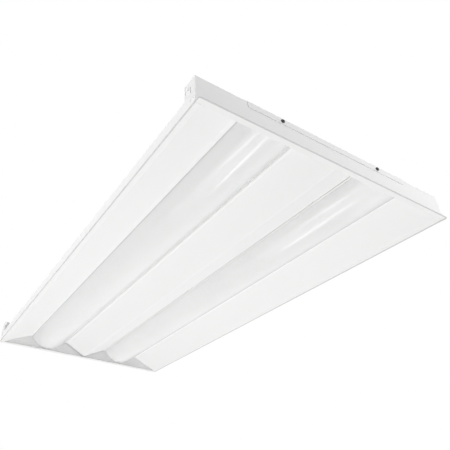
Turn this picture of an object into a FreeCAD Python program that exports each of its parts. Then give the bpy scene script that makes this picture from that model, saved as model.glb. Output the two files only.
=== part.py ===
import FreeCAD, Part
import math
import os

# Recessed troffer light, two feet by four feet, with two half-round diffusers.
# Millimetres. X across the width, Y along the length, Z up into the ceiling.
# Origin: centre of the face, on the underside of the flange that lies on the ceiling grid.

# ---- driving dimensions: body
face_width = 603.0          # over the side walls
face_length = 1213.0        # over the end flanges
sheet = 0.8                 # steel of the body and reflectors
bend = 0.6                  # inside bend radius
flange = 12.0               # visible flange, all round
end_setback = 9.0           # flange end to end plate
flange_corner = 7.0         # round corners of the end flanges
side_wall_height = 26.0
body_height = 60.0          # flange underside to back pan underside
piece_gap = 0.3             # play between neighbouring sheet pieces

# ---- reflectors and lenses
peak_height = 38.0          # underside of the lens ledges
slope_drop = 0.6            # the flat lips fall this much to the slope
lip_width = 5.0             # flat lip beside each ledge
ledge = 5.0                 # outer lens ledge
outer_ledge_x = 199.0       # free edge of the outer ledge
inner_ledge_x = 80.0        # free edge of the inner ledge
rail_x = 76.5               # inner face of the rails
rail_flange = 12.0
lens_wall = 2.0
lens_bottom = 6.5
lens_play = 0.8             # lens lips to walls, sideways
lens_gap = 1.8              # ledge's free edge to the lens's round wall
lens_end_play = 1.0

# ---- centre cover and its hinge
cover_half = 74.5           # middle to the hinge edge
cover_latch_gap = 0.3       # latch edge to the rail
cover_bottom = 3.0
cover_crease = 5.0          # inside radius along the bottom
cover_return = 7.0          # upright return on the latch side
cover_end_gap = 0.8
hinge_inset = 1.3           # axis inboard of the cover's edge
hinge_rise = 1.9            # axis above the lip
pin_r = 0.75
knuckle_wall = 0.75
run_clear = 0.06            # running clearance, radial
lug_length = 8.0
knuckle_length = 14.0
knuckle_gap = 0.4
notch_depth = 3.4
window_high = 3.2           # slots left where the lugs were folded out
hinge_stations = 3
hinge_margin = 110.0        # outer stations to the cover's ends
latch_width = 18.0
latch_gap = 0.5
latch_steel = 0.5
latch_stations = 2
latch_margin = 395.8        # stations to the cover's ends
latch_pan_gap = 3.0         # top of the spring to the back pan
latch_over = 1.0            # joggle's foot above the cover's return
latch_step = 3.0            # length of the joggle
latch_foot = 3.5            # leaf's end above the lip
latch_lead = 2.0            # lead-in, up and sideways

# ---- back pan
pan_side_gap = 3.2          # the pan's side flanges to the lens ledges
tab_inset = 9.6             # end tab's edge to the pan's side
tab_drop = 14.0             # depth of the end tabs
tab_corner = 5.0
top_flange = 14.0           # end plate flange under the pan

# ---- ears and grid clips
ear_length = 31.0
ear_tongue = 18.0           # below the ear, inside the side wall
ear_tongue_length = 20.0
ear_tongue_lap = 2.5        # the tongue's joggle, above the side wall
wire_slot_width = 2.0
wire_slot_low = 31.0
wire_slot_high = 46.0
wire_slot_offset = 13.5     # from the end plate
clip_slot_width = 2.6
clip_slot_low = 37.5
clip_slot_high = 58.2
clip_slot_offset = 27.0     # from the end plate
clip_thick = 1.2
clip_width = 9.0
clip_reach = 15.8           # pivot to tip
clip_pivot_height = 43.5
clip_pivot_inset = 8.5      # pivot to the ear's outer face
clip_pivot_r = 1.5
clip_side_gap = 0.3
bracket_thick = 1.0
bracket_leg = 10.0
bracket_height = 12.0
bracket_reach = 14.0
bracket_rivet_lift = 2.0    # above the clip's pivot
clip_pivot_head_r = 2.7
clip_tip_round = 2.0
clip_heel_flat = 0.1        # left flat between the heel's two round corners

# ---- light engine
board_width = 24.0
board_thick = 1.6
board_split = 6.0           # middle of the body to each board's end
board_end_gap = 24.7        # board's outer end to the end plate
led_count = 24
led_side = 3.0
led_high = 0.8
led_margin = 22.0
plug_width = 8.0
plug_length = 12.0
plug_high = 5.0
plug_inset = 0.5            # from the board's inner edge
plug_feed_reach = 52.0      # driver's end to the feed connectors
plug_end_inset = 4.0        # board's end to the jumper connectors
jumper_r = 1.2
jumper_sag = 1.5
lead_r = 1.6

# ---- driver
driver_gap = 46.0           # driver's end to the junction block
driver_length = 360.0
driver_width = 30.0
driver_high = 25.0
driver_wall = 0.6
driver_ear = 13.0
driver_board_thick = 1.6
driver_board_play = 0.5     # to the case's sides
driver_board_end = 2.0      # to the case's ends
driver_post_high = 5.6
driver_post_r = 2.0
driver_post_side = 1.0      # to the case's sides
driver_post_inset = 14.0    # to the case's ends
coil_side = 22.0
coil_high = 12.0
coil_limb = 4.0             # core beside the winding
coil_proud = 2.0            # winding past the core
coil_from_start = 130.0
cap_r = 5.0
cap_length = 18.0
cap_gap = 1.0
cap_from_start = 223.0
block_width = 20.0
block_high = 9.0
block_out = 6.0             # terminal block, proud of the case
port_pitch = 5.0
port_deep = 5.0

# ---- wiring compartment
junction_back = 79.0        # junction block's end to the access plate's pivot
junction_length = 20.0
junction_width = 34.0
junction_high = 16.0
junction_foot = 10.0        # foot with the screw, past the block
junction_foot_thick = 3.0
junction_foot_inset = 2.0
junction_pitch = 11.0       # supply ports
supply_port_deep = 9.0
lead_port_deep = 5.0
port_r = 1.6
ground_x = -36.0
ground_back = 51.0          # ground screw to the access plate's pivot
tongue_r = 4.6              # ring tongue under the ground screw
tongue_thick = 1.2
tongue_reach = 8.5
barrel_r = 1.7
plate_thick = 1.0
plate_pivot_inset = 172.5   # access plate's pivot to the end plate
plate_half = 40.0
plate_behind = 10.0
plate_ahead = 95.0
plate_lift = 0.3
plate_corner = 4.0
plate_slot_clear = 0.8      # slot round the lock screw, radial
plate_slot_run = 30.0
plate_lock_x = 32.0
plate_lock_y = 88.0
knockout_r = 11.1
knockout_first = 34.0
knockout_pitch = 32.0
knockout_score = 0.4
knockout_tie = 1.6
hatch_half = 28.0
hatch_near = 14.0
hatch_far = 80.0

# ---- fasteners
screw_r = 2.0
screw_head_r = 3.6
screw_head = 2.2
screw_tail = 3.0
cross_wide = 0.9
cross_deep = 1.0
hole_clear = 0.1            # radial, fixed fasteners
rivet_r = 1.6
rivet_head_r = 3.0
rivet_head = 0.8
rivet_tail_r = 2.4
rivet_count = 6
rivet_margin = 60.0
corner_rivet_z = 15.0
corner_rivet_first = 6.0    # from the end plate
corner_rivet_pitch = 9.0
end_screw_x = 120.0
end_screw_drop = 7.0
driver_screw_inset = 6.0
board_screw_count = 3
board_screw_margin = 30.0
board_screw_offset = 8.5
board_screw_head_r = 3.0
grommet_r = 5.0
grommet_bore = 2.8
grommet_lip = 1.5
grommet_lip_thick = 1.2
grommet_drop = 8.0          # below the back pan
past = 1.0                  # cutters run this far past a face

# ---- derived places
half_w = face_width / 2
half_l = face_length / 2
plate_out = half_l - end_setback
plate_in = plate_out - sheet
lip_in = half_l - flange
panel_half = plate_in - piece_gap
pan_top = body_height + sheet
wall_x = outer_ledge_x + ledge
pan_half = wall_x + 2 * sheet
tab_half = pan_half - tab_inset
return_top = peak_height + cover_return
ledge_top = peak_height + sheet
pan_side = body_height - ledge_top - pan_side_gap
cover_latch_x = rail_x - cover_latch_gap
hinge_x = cover_half - hinge_inset
hinge_z = peak_height + hinge_rise
knuckle_r = pin_r + knuckle_wall
cover_len = lip_in - cover_end_gap
plate_pivot_y = plate_out - plate_pivot_inset
ground_y = plate_pivot_y - ground_back
junction_y = plate_pivot_y - junction_back
driver_end = junction_y - driver_gap
driver_start = driver_end - driver_length
driver_board_z = body_height - sheet - driver_post_high - driver_board_thick
board_z = body_height - board_thick
board_x = (inner_ledge_x + outer_ledge_x) / 2
board_length = plate_in - board_split - board_end_gap
plug_feed_y = driver_start - plug_feed_reach
grommet_height = body_height - grommet_drop
plug_x = board_x - board_width / 2 + plug_inset
fold = sheet / 2            # pieces of one sheet are joined inside it
plate_low = pan_top + plate_lift
end_screw_z = pan_top - end_screw_drop

X = FreeCAD.Vector(1, 0, 0)
Y = FreeCAD.Vector(0, 1, 0)
Z = FreeCAD.Vector(0, 0, 1)
ORIGIN = FreeCAD.Vector(0, 0, 0)


def box(x0, x1, y0, y1, z0, z1):
    low = FreeCAD.Vector(min(x0, x1), min(y0, y1), min(z0, z1))
    return Part.makeBox(abs(x1 - x0), abs(y1 - y0), abs(z1 - z0), low)


def rod(r, base, axis, length):
    return Part.makeCylinder(r, length, FreeCAD.Vector(*base), axis)


def fuse(first, *others):
    return first.multiFuse(list(others)).removeSplitter() if others else first


def spread(count, low, high):
    if count == 1:
        return [(low + high) / 2]
    return [low + (high - low) * i / (count - 1) for i in range(count)]


def mirror_x(shape):
    return shape.mirror(ORIGIN, X)


def mirror_y(shape):
    return shape.mirror(ORIGIN, Y)


def outline(points, radii):
    """Closed wire in the XZ plane whose corners are rounded by the given radii."""
    p = [FreeCAD.Vector(x, 0, z) for x, z in points]
    n = len(p)
    starts, ends, mids = [], [], []
    for i in range(n):
        back = (p[i - 1] - p[i]).normalize()
        ahead = (p[(i + 1) % n] - p[i]).normalize()
        half = back.getAngle(ahead) / 2
        if radii[i] <= 0:
            starts.append(p[i])
            ends.append(p[i])
            mids.append(None)
            continue
        reach = radii[i] / math.tan(half)
        centre_way = (back + ahead).normalize()
        centre = p[i] + centre_way * (radii[i] / math.sin(half))
        starts.append(p[i] + back * reach)
        ends.append(p[i] + ahead * reach)
        mids.append(centre - centre_way * radii[i])
    edges = []
    for i in range(n):
        if mids[i] is not None:
            edges.append(Part.Arc(starts[i], mids[i], ends[i]).toShape())
        nxt = (i + 1) % n
        if (ends[i] - starts[nxt]).Length > 1e-6:
            edges.append(Part.LineSegment(ends[i], starts[nxt]).toShape())
    return Part.Wire(edges)


def strip(points, thick, inside=None):
    """Bent strip: the path is one face, and the thickness lies to its left."""
    p = [FreeCAD.Vector(x, 0, z) for x, z in points]
    ways = [(p[i + 1] - p[i]).normalize() for i in range(len(p) - 1)]
    lefts = [FreeCAD.Vector(-w.z, 0, w.x) for w in ways]
    inside = inside or [bend] * (len(p) - 2)
    other, near_r, far_r = [p[0] + lefts[0] * thick], [0], [0]
    for i in range(1, len(p) - 1):
        both = (lefts[i - 1] + lefts[i]).normalize()
        other.append(p[i] + both * (thick / both.dot(lefts[i])))
        left_turn = ways[i].dot(lefts[i - 1]) > 0
        near_r.append(inside[i - 1] + (thick if left_turn else 0))
        far_r.append(inside[i - 1] + (0 if left_turn else thick))
    other.append(p[-1] + lefts[-1] * thick)
    near_r.append(0)
    far_r.append(0)
    loop = p + other[::-1]
    return outline([(v.x, v.z) for v in loop], near_r + far_r[::-1])


def extrude_y(wire, y0, y1):
    face = Part.Face(wire)
    face.translate(Y * y0)
    return face.extrude(Y * (y1 - y0))


def tube(points, r):
    """Round lead along straight runs joined by arcs as large as the runs allow."""
    p = [FreeCAD.Vector(*q) for q in points]
    edges, here, radii = [], p[0], []
    for i in range(1, len(p) - 1):
        back, ahead = p[i - 1] - p[i], p[i + 1] - p[i]
        reach = 0.45 * min(back.Length, ahead.Length)
        back.normalize()
        ahead.normalize()
        turn = math.pi - back.getAngle(ahead)
        radius = reach / math.tan(turn / 2)
        radii.append(round(radius, 1))
        way = (back + ahead).normalize()
        centre = p[i] + way * math.hypot(radius, reach)
        start, end = p[i] + back * reach, p[i] + ahead * reach
        edges.append(Part.LineSegment(here, start).toShape())
        edges.append(Part.Arc(start, centre - way * radius, end).toShape())
        here = end
    edges.append(Part.LineSegment(here, p[-1]).toShape())
    path = Part.Wire(edges)
    print("lead radii", radii, "length", round(path.Length, 1))
    ring = Part.Wire(Part.makeCircle(r, p[0], p[1] - p[0]))
    solid = path.makePipeShell([ring], True, False)
    return solid


def screw(base, axis, grip, head_r=screw_head_r):
    """Pan-head screw; base is the underside of the head, axis points along the shank."""
    way = FreeCAD.Vector(*axis)
    seat = FreeCAD.Vector(*base)
    shank = Part.makeCylinder(screw_r, grip + screw_tail, seat, way)
    point = Part.makeCone(screw_r, screw_r / 3, screw_tail / 2, seat + way * (grip + screw_tail), way)
    head = Part.makeCylinder(head_r, screw_head, seat - way * screw_head, way)
    top = seat - way * screw_head
    rim = [e for e in head.Edges if e.isClosed() and (e.CenterOfMass - top).Length < hole_clear]
    head = head.makeFillet(screw_head / 3, rim)
    return fuse(shank, point, head).cut(cross_slot(top, way))


def cross_slot(top, way):
    side = Z if abs(way.z) < 0.5 else X
    other = way.cross(side)
    bars = []
    for u, v in ((side, other), (other, side)):
        a = top + u * (screw_head_r / 2) + v * (cross_wide / 2)
        b = top - u * (screw_head_r / 2) - v * (cross_wide / 2) + way * cross_deep
        bars.append(box(a.x, b.x, a.y, b.y, a.z, b.z))
    return fuse(*bars)


def rivet(base, axis, grip, flush=False):
    """Rivet whose head sits at base; axis points along the shank to the set end."""
    way = FreeCAD.Vector(*axis)
    seat = FreeCAD.Vector(*base)
    shank = Part.makeCylinder(rivet_r, grip, seat, way)
    head = Part.makeCylinder(rivet_head_r, rivet_head, seat - way * rivet_head, way)
    parts = [shank, head]
    if not flush:
        parts.append(Part.makeCylinder(rivet_tail_r, rivet_head, seat + way * grip, way))
    return fuse(*parts)


def hole(base, axis, grip, r):
    """Cutter for a fastener seated at base, through a stack as thick as its grip."""
    way = FreeCAD.Vector(*axis)
    seat = FreeCAD.Vector(*base)
    return Part.makeCylinder(r + hole_clear, grip + 2 * past, seat - way * past, way)


# ---- places shared by a fastener and the holes it passes

def rivet_stations():
    return spread(rivet_count, -plate_out + rivet_margin, plate_out - rivet_margin)


def wall_rivet_places():
    z = body_height - pan_side / 2
    return [(wall_x + 2 * sheet, y, z) for y in rivet_stations()]


def rail_rivet_places():
    x = rail_x + (rail_flange + sheet) / 2
    return [(x, y, body_height - sheet) for y in rivet_stations()]


def corner_rivet_places():
    first = plate_in - corner_rivet_first
    return [(half_w, -y, corner_rivet_z) for y in (first, first - corner_rivet_pitch)]


def board_screw_places():
    start = board_split + board_screw_margin
    end = board_split + board_length - board_screw_margin
    x = board_x + board_screw_offset
    return [(x, y, board_z) for y in spread(board_screw_count, start, end)]


def hinge_places():
    return spread(hinge_stations, -cover_len + hinge_margin, cover_len - hinge_margin)


def latch_places():
    return spread(latch_stations, -cover_len + latch_margin, cover_len - latch_margin)


def driver_screw_places():
    reach = driver_ear - driver_screw_inset
    return [(0, driver_start - reach), (0, driver_end + reach)]


# ---- body

def side_reflector():
    path = [(outer_ledge_x, peak_height), (wall_x + lip_width, peak_height - slope_drop),
            (half_w - flange, 0), (half_w, 0), (half_w, side_wall_height)]
    panel = extrude_y(strip(path, sheet), -panel_half, panel_half)
    wall = box(wall_x, wall_x + sheet, -panel_half, panel_half, peak_height + fold, body_height)
    body = fuse(panel, wall)
    for side in (-1, 1):
        y = side * (lip_in - piece_gap)
        body = body.cut(box(0, face_width, y, side * face_length, -past, sheet * 2 + piece_gap))
    cuts = [hole(place, (-1, 0, 0), 2 * sheet, rivet_r) for place in wall_rivet_places()]
    for x, y, z in corner_rivet_places():
        cuts += [hole((x, side * y, z), (-1, 0, 0), 2 * sheet, rivet_r) for side in (-1, 1)]
    return body.cut(fuse(*cuts))


def ear():
    """Right-hand ear of the near end plate, with its tongue inside the side wall."""
    x = half_w - sheet
    y0 = -plate_out
    base = side_wall_height + piece_gap
    body = box(x, half_w, y0, y0 + ear_length, base, body_height)
    tongue = box(x - sheet, x, -plate_in, -plate_in + ear_tongue_length,
                 side_wall_height - ear_tongue, base + ear_tongue_lap)
    cuts = [side_slot(clip_y(), clip_slot_width, clip_slot_low, clip_slot_high),
            side_slot(y0 + wire_slot_offset, wire_slot_width, wire_slot_low, wire_slot_high)]
    for place in corner_rivet_places() + [bracket_rivet_place()]:
        cuts.append(hole(place, (-1, 0, 0), 2 * sheet, rivet_r))
    return fuse(body, tongue).cut(fuse(*cuts))


def side_slot(y, width, low, high):
    x = half_w - sheet - past
    return box(x, half_w + past, y - width / 2, y + width / 2, low, high)


def end_plate():
    """Near end plate: upright, hemmed face flange, top flange and two ears."""
    upright = box(-half_w, half_w, -plate_out, -plate_in, 0, body_height)
    face_hem = round_ended(-lip_in, 0)
    back_hem = round_ended(-plate_in, sheet)
    top = box(-tab_half, tab_half, -plate_out, -plate_out + top_flange, body_height - sheet, body_height)
    body = fuse(upright, face_hem, back_hem, top, ear(), mirror_x(ear()))
    return body.cut(fuse(*end_screw_holes()))


def round_ended(inner_y, z):
    """One layer of the end flange, from its outer edge to inner_y, with the two outer corners round."""
    x, y = half_w - flange_corner, -half_l + flange_corner
    low, high = z - past, z + sheet + past
    corners = []
    for side in (-1, 1):
        square = box(side * x, side * (half_w + past), -half_l - past, y, low, high)
        corners.append(square.cut(rod(flange_corner, (side * x, y, low), Z, high - low)))
    return box(-half_w, half_w, -half_l, inner_y, z, z + sheet).cut(fuse(*corners))


def end_screw_holes():
    y = -plate_out - sheet
    return [hole((side * end_screw_x, y, end_screw_z), (0, 1, 0), 2 * sheet, screw_r) for side in (-1, 1)]


def back_pan():
    end_y = plate_out
    web = box(-pan_half, pan_half, -end_y, end_y, body_height, pan_top)
    parts = [web]
    for side in (-1, 1):
        parts.append(box(side * (pan_half - sheet), side * pan_half, -panel_half, panel_half,
                         body_height - pan_side, pan_top))
        low = pan_top - tab_drop
        tab = outline([(-tab_half, pan_top), (-tab_half, low), (tab_half, low), (tab_half, pan_top)],
                      [0, tab_corner, tab_corner, 0])
        parts.append(extrude_y(tab, side * end_y, side * (end_y + sheet)))
    body = fuse(*parts)
    cuts = [box(-hatch_half, hatch_half, plate_pivot_y + hatch_near, plate_pivot_y + hatch_far,
                body_height - past, pan_top + past)]
    up = (0, 0, 1)
    for s in (-1, 1):
        cuts += [hole((s * x, y, z), (-s, 0, 0), 2 * sheet, rivet_r) for x, y, z in wall_rivet_places()]
        cuts += [hole((s * x, y, z), up, 2 * sheet, rivet_r) for x, y, z in rail_rivet_places()]
        for x, y, z in board_screw_places():
            cuts += [hole((s * x, e * y, body_height), up, sheet, screw_r) for e in (-1, 1)]
    web_screws = driver_screw_places() + [junction_screw_place(), (ground_x, ground_y)] + plate_screw_places()
    cuts += [hole((x, y, body_height), up, sheet, screw_r) for x, y in web_screws]
    cuts += end_screw_holes() + [mirror_y(cut) for cut in end_screw_holes()]
    return body.cut(fuse(*cuts))


def end_screws():
    y = -plate_out - sheet
    return Part.Compound([screw((s * end_screw_x, y, end_screw_z), (0, 1, 0), 2 * sheet) for s in (-1, 1)])


def wall_rivets():
    made = []
    for x, y, z in wall_rivet_places():
        made += [rivet((s * x, y, z), (-s, 0, 0), 2 * sheet) for s in (-1, 1)]
    return Part.Compound(made)


def corner_rivets():
    made = []
    for x, y, z in corner_rivet_places():
        made += [rivet((s * x, e * y, z), (-s, 0, 0), 2 * sheet) for s in (-1, 1) for e in (-1, 1)]
    return Part.Compound(made)


# ---- rails, lenses

def rail(hinged):
    """Right-hand rail: hangs from the pan, carries the lens's inner lip."""
    path = [(rail_x + rail_flange, body_height), (rail_x, body_height),
            (rail_x, peak_height), (inner_ledge_x, peak_height)]
    body = extrude_y(strip(path, sheet), -panel_half, panel_half)
    reach = plate_out - top_flange - piece_gap
    for side in (-1, 1):
        body = body.cut(box(0, face_width, side * reach, side * face_length,
                            body_height - sheet - piece_gap, pan_top))
    cuts = [hole(place, (0, 0, 1), 2 * sheet, rivet_r) for place in rail_rivet_places()]
    cuts.append(rod(grommet_r, (rail_x - past, plug_feed_y, grommet_height), X, sheet + 2 * past))
    return body.cut(fuse(*(cuts + hinge_windows()))) if hinged else body.cut(fuse(*cuts))


def hinge_windows():
    """Slots in the rail's wall that the hinge lugs are folded out of."""
    low = hinge_z + knuckle_r + sheet
    spans = [span for y in hinge_places() for span in lug_spans(y)]
    return [box(rail_x - past, rail_x + sheet + past, y0, y1, low, low + window_high) for y0, y1 in spans]


def lug_spans(y):
    inner = knuckle_length / 2 + knuckle_gap
    return [(y - inner - lug_length, y - inner), (y + inner, y + inner + lug_length)]


def knuckle(y0, y1, bore):
    ring = rod(knuckle_r, (hinge_x, y0, hinge_z), Y, y1 - y0)
    return ring, rod(bore, (hinge_x, y0 - piece_gap, hinge_z), Y, y1 - y0 + 2 * piece_gap)


def rail_with_lugs():
    body = rail(True)
    bores = []
    lugs = []
    for y in hinge_places():
        for y0, y1 in lug_spans(y):
            ring, bore = knuckle(y0, y1, pin_r)
            arm = box(hinge_x, rail_x + fold, y0, y1, hinge_z + knuckle_r - sheet, hinge_z + knuckle_r)
            lugs += [ring, arm]
            bores.append(bore)
    return fuse(body, *lugs).cut(fuse(*bores))


def hinge_pins():
    made = []
    for y in hinge_places():
        y0, y1 = lug_spans(y)[0][0], lug_spans(y)[1][1]
        made.append(rod(pin_r, (hinge_x, y0, hinge_z), Y, y1 - y0))
    return Part.Compound(made)


def rail_rivets():
    made = []
    for x, y, z in rail_rivet_places():
        made += [rivet((s * x, y, z), (0, 0, 1), 2 * sheet, True) for s in (-1, 1)]
    return Part.Compound(made)


def diffuser():
    """Right-hand lens: an arc wall with two flat lips that lie on the ledges."""
    low_x, high_x = inner_ledge_x + lens_gap, outer_ledge_x - lens_gap
    mid = (low_x + high_x) / 2
    half, sag = (high_x - low_x) / 2, ledge_top - lens_bottom
    radius = (half ** 2 + sag ** 2) / (2 * sag)
    centre_z = lens_bottom + radius
    top = ledge_top + lens_wall
    inner_r = radius - lens_wall
    inner_half = math.sqrt(inner_r ** 2 - (top - centre_z) ** 2)
    a = FreeCAD.Vector(rail_x + sheet + lens_play, 0, top)
    b = FreeCAD.Vector(rail_x + sheet + lens_play, 0, ledge_top)
    c = FreeCAD.Vector(low_x, 0, ledge_top)
    d = FreeCAD.Vector(high_x, 0, ledge_top)
    e = FreeCAD.Vector(wall_x - lens_play, 0, ledge_top)
    f = FreeCAD.Vector(wall_x - lens_play, 0, top)
    g = FreeCAD.Vector(mid + inner_half, 0, top)
    h = FreeCAD.Vector(mid - inner_half, 0, top)
    edges = [Part.LineSegment(a, b), Part.LineSegment(b, c),
             Part.Arc(c, FreeCAD.Vector(mid, 0, lens_bottom), d),
             Part.LineSegment(d, e), Part.LineSegment(e, f), Part.LineSegment(f, g),
             Part.Arc(g, FreeCAD.Vector(mid, 0, lens_bottom + lens_wall), h), Part.LineSegment(h, a)]
    reach = plate_in - lens_end_play
    return extrude_y(Part.Wire([edge.toShape() for edge in edges]), -reach, reach)


# ---- centre cover

def center_cover():
    slope = math.atan2(peak_height - cover_bottom, cover_half - lip_width)
    point = cover_bottom - (cover_crease + sheet) * (1 / math.cos(slope) - 1)
    path = [(-cover_latch_x, return_top), (-cover_latch_x, peak_height),
            (-cover_half + lip_width, peak_height - slope_drop), (0, point),
            (cover_half - lip_width, peak_height - slope_drop), (cover_half, peak_height)]
    body = extrude_y(strip(path, sheet, [bend, bend, cover_crease, bend]), -cover_len, cover_len)
    notches, rings, bores = [grommet_notch()], [], []
    half, low = knuckle_length / 2, peak_height - slope_drop - past
    for y in hinge_places():
        for y0, y1 in lug_spans(y):
            notches.append(box(cover_half - notch_depth, cover_half + past,
                               y0 - knuckle_gap, y1 + knuckle_gap, low, ledge_top + past))
        ring, bore = knuckle(y - half, y + half, pin_r + run_clear)
        foot = box(hinge_x, cover_half, y - half, y + half, peak_height + fold, hinge_z)
        swing = rod(math.hypot(hinge_inset, hinge_rise), (hinge_x, y - half, hinge_z), Y, knuckle_length)
        rings += [ring, foot.common(swing)]
        bores.append(bore)
    return fuse(body.cut(fuse(*notches)), *rings).cut(fuse(*bores))


def grommet_notch():
    """Room in the cover's return under the left rail's grommet, where that hangs low enough to need it."""
    around = grommet_r + grommet_lip + piece_gap
    return box(-cover_latch_x - past, -cover_latch_x + sheet + past, plug_feed_y - around,
               plug_feed_y + around, grommet_height - around, body_height)


def latch_springs():
    """Leaf springs on the left rail that grip the cover's upright return."""
    top = body_height - latch_pan_gap
    step_low = return_top + latch_over
    foot = peak_height + latch_foot
    x_leaf = -cover_latch_x + sheet + latch_gap
    path = [(-rail_x, top), (-rail_x, step_low + latch_step), (x_leaf, step_low),
            (x_leaf, foot), (x_leaf + latch_lead, foot - latch_lead)]
    wire = strip(path, latch_steel, [latch_steel] * 3)
    half = latch_width / 2
    return Part.Compound([extrude_y(wire, y - half, y + half) for y in latch_places()])


# ---- light engine

def led_board(side, end):
    y0, y1 = board_split, board_split + board_length
    half = board_width / 2
    body = box(side * (board_x - half), side * (board_x + half), end * y0, end * y1, board_z, body_height)
    places = [(side * x, end * y, z) for x, y, z in board_screw_places()]
    return body.cut(fuse(*[hole(place, (0, 0, 1), board_thick, screw_r) for place in places]))


def led_row(side, end):
    x, half = side * board_x, led_side / 2
    made = []
    for y in spread(led_count, board_split + led_margin, board_split + board_length - led_margin):
        made.append(box(x - half, x + half, end * y - half, end * y + half, board_z - led_high, board_z))
    return Part.Compound(made)


def plug_places():
    jump = board_split + plug_length / 2 + plug_end_inset
    return [plug_feed_y, -jump, jump]


def board_connectors():
    made, half = [], plug_length / 2
    for y in plug_places():
        made.append(box(plug_x, plug_x + plug_width, y - half, y + half, board_z - plug_high, board_z))
    return Part.Compound(made + [mirror_x(block) for block in made])


def board_jumpers():
    x, z = plug_x + plug_width / 2, board_z - plug_high / 2
    y = plug_places()[2] - plug_length / 2
    route = [(x, -y, z), (x, -y / 3, z - jumper_sag), (x, y / 3, z - jumper_sag), (x, y, z)]
    lead = tube(route, jumper_r)
    return Part.Compound([lead, mirror_x(lead)])


def board_screws():
    grip = board_thick + sheet
    made = []
    for x, y, z in board_screw_places():
        corners = [(s * x, e * y, z) for s in (-1, 1) for e in (-1, 1)]
        made += [screw(place, (0, 0, 1), grip, board_screw_head_r) for place in corners]
    return Part.Compound(made)


# ---- driver

def driver_posts():
    x = driver_width / 2 - driver_wall - driver_post_r - driver_post_side
    ends = [driver_start + driver_post_inset, driver_end - driver_post_inset]
    return [(s * x, y) for s in (-1, 1) for y in ends]


def driver_base():
    half, low = driver_width / 2, body_height - sheet
    body = box(-half, half, driver_start - driver_ear, driver_end + driver_ear, low, body_height)
    posts = [rod(driver_post_r, (x, y, low - driver_post_high), Z, driver_post_high + fold)
             for x, y in driver_posts()]
    cuts = [hole((x, y, low), (0, 0, 1), 2 * sheet, screw_r) for x, y in driver_screw_places()]
    return fuse(body, *posts).cut(fuse(*cuts))


def driver_lid():
    half, wall = driver_width / 2, driver_wall
    low, top = body_height - driver_high, body_height - sheet
    shell = box(-half, half, driver_start, driver_end, low, top)
    hollow = box(-half + wall, half - wall, driver_start + wall, driver_end - wall, low + wall, top + past)
    z1 = driver_board_z + piece_gap
    z0 = driver_board_z - block_high - piece_gap
    w = block_width / 2 + piece_gap
    ports = [box(-w, w, y - past, y + past, z0, z1) for y in (driver_start, driver_end)]
    return shell.cut(fuse(hollow, *ports))


def driver_circuit_board():
    half, end = driver_width / 2 - driver_wall - driver_board_play, driver_board_end
    z = driver_board_z
    return box(-half, half, driver_start + end, driver_end - end, z, z + driver_board_thick)


def driver_transformer():
    y, z, half = driver_start + coil_from_start, driver_board_z, coil_side / 2
    core = box(-half, half, y - half, y + half, z - coil_high, z)
    r = half - coil_limb + coil_proud
    coil = rod(r, (0, y - half - coil_proud, z - coil_high / 2), Y, coil_side + 2 * coil_proud)
    room = box(-r, r, y - coil_side, y + coil_side, z - coil_high - past, z)
    return fuse(core, coil.common(room))


def driver_capacitors():
    y, x = driver_start + cap_from_start, cap_r + cap_gap / 2
    z = driver_board_z - cap_r
    return Part.Compound([rod(cap_r, (side * x, y, z), Y, cap_length) for side in (-1, 1)])


def driver_terminals():
    made = []
    half, z1 = block_width / 2, driver_board_z
    z0 = z1 - block_high
    for y, way in ((driver_start, -1), (driver_end, 1)):
        body = box(-half, half, y + way * block_out, y - way * block_out, z0, z1)
        mouth = y + way * (block_out + past)
        ports = [rod(port_r, (x, mouth, (z0 + z1) / 2), Y * -way, port_deep + past)
                 for x in (-port_pitch, 0, port_pitch)]
        made.append(body.cut(fuse(*ports)))
    return Part.Compound(made)


def driver_screws():
    z = body_height - sheet
    return Part.Compound([screw((x, y, z), (0, 0, 1), 2 * sheet) for x, y in driver_screw_places()])


# ---- wiring compartment

def junction_screw_place():
    return (junction_width / 2 + junction_foot / 2, junction_y + junction_length / 2)


def junction_block():
    w, y0, y1 = junction_width / 2, junction_y, junction_y + junction_length
    z0, inset = body_height - junction_high, junction_foot_inset
    z = z0 + junction_high / 2
    body = box(-w, w, y0, y1, z0, body_height)
    low = body_height - junction_foot_thick
    foot = box(w - past, w + junction_foot, y0 + inset, y1 - inset, low, body_height)
    x, y = junction_screw_place()
    cuts = [hole((x, y, low), (0, 0, 1), junction_foot_thick, screw_r)]
    for px in (-junction_pitch, 0, junction_pitch):
        cuts.append(rod(port_r, (px, y1 + past, z), Y * -1, supply_port_deep + past))
    for px in (-port_pitch, port_pitch):
        cuts.append(rod(jumper_r + hole_clear, (px, y0 - past, z), Y, lead_port_deep + past))
    return fuse(body, foot).cut(fuse(*cuts))


def junction_screw():
    x, y = junction_screw_place()
    return screw((x, y, body_height - junction_foot_thick), (0, 0, 1), junction_foot_thick + sheet)


def ground_screw():
    return screw((ground_x, ground_y, body_height - tongue_thick), (0, 0, 1), tongue_thick + sheet)


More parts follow.
